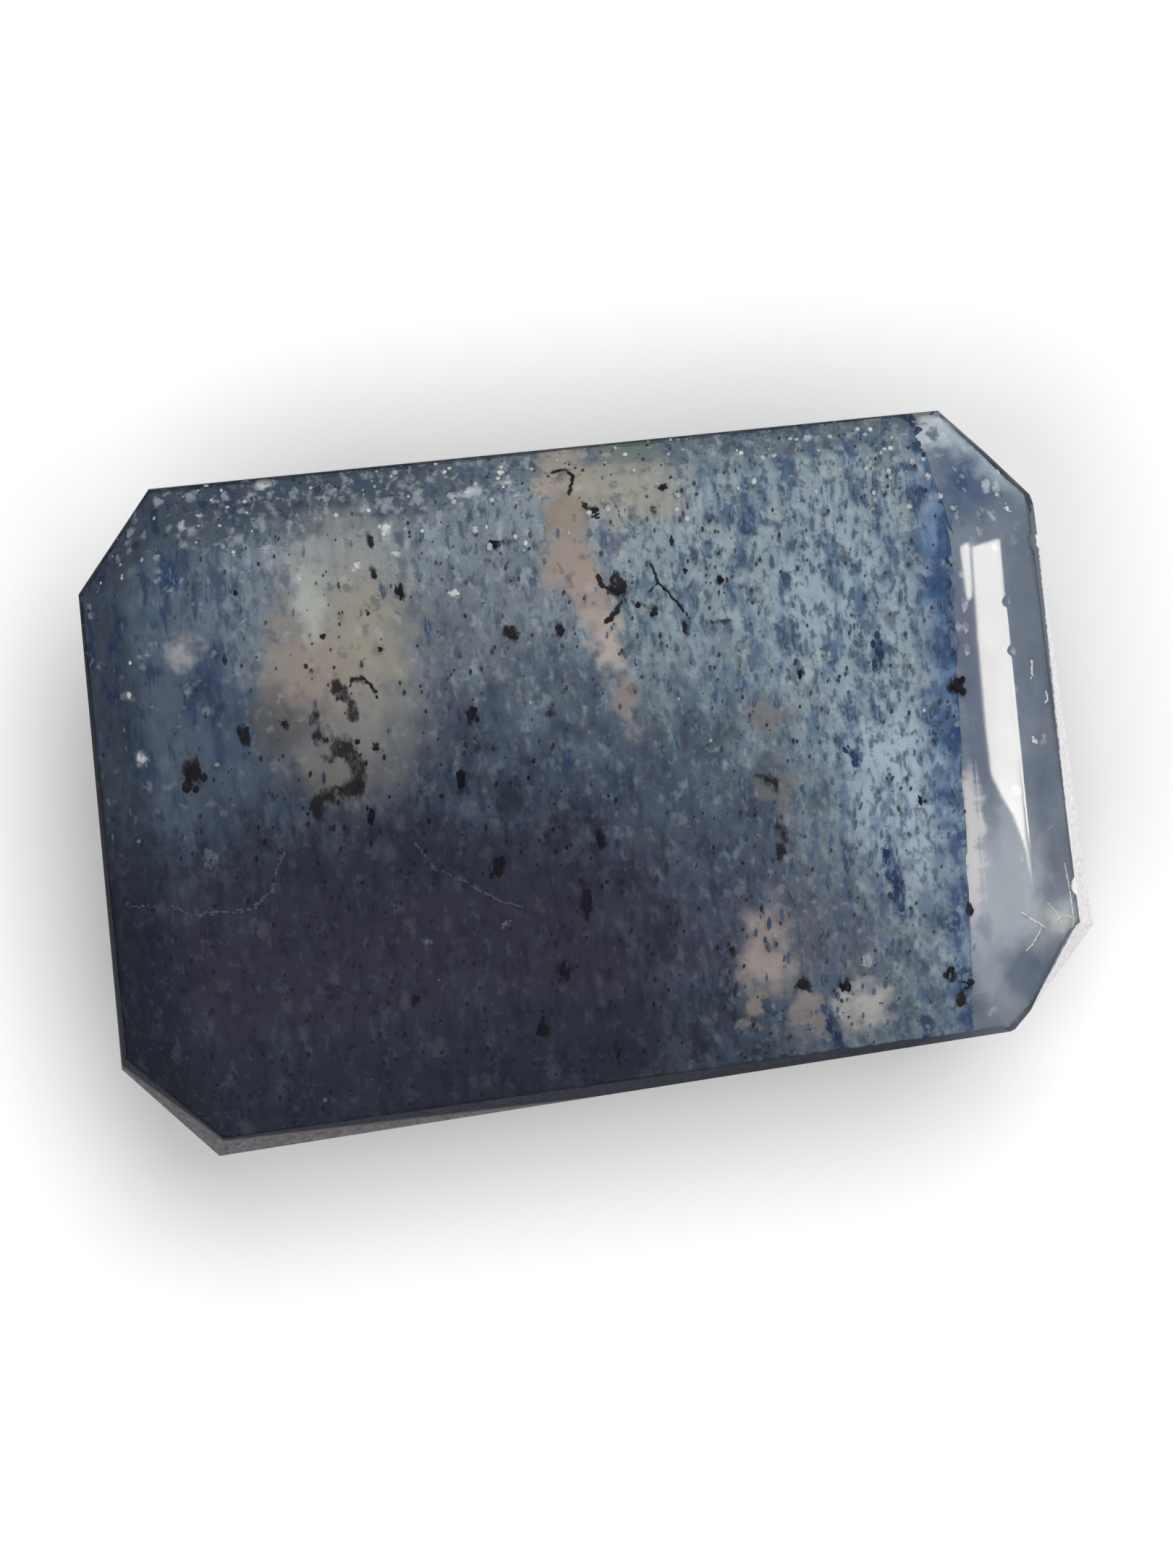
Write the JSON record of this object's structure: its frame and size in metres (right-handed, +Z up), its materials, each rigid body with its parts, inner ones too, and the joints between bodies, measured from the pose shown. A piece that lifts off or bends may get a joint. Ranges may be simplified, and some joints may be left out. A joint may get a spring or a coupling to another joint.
{
  "type": "cut stone of lazulite in quartz",
  "caption": "Step-cut gemstone of clear quartz crowded with blue lazulite grains: a flat table, a low stepped crown, a frosted girdle and a stepped pavilion down to a small flat back.",
  "frame": {"origin": "on the surface that the stone lies on, under the middle of its box", "axes": "+X along the stone's long side, towards its clear end; +Y across it, the upper side in the picture; +Z up, out of the table"},
  "size_m": [0.024, 0.0164, 0.008],
  "materials": {
    "stone": "polished facets, frosted girdle; clear quartz full of blue grains"
  },
  "bodies": {
    "root": {"cut_stone": "stone"}
  },
  "joints": []
}
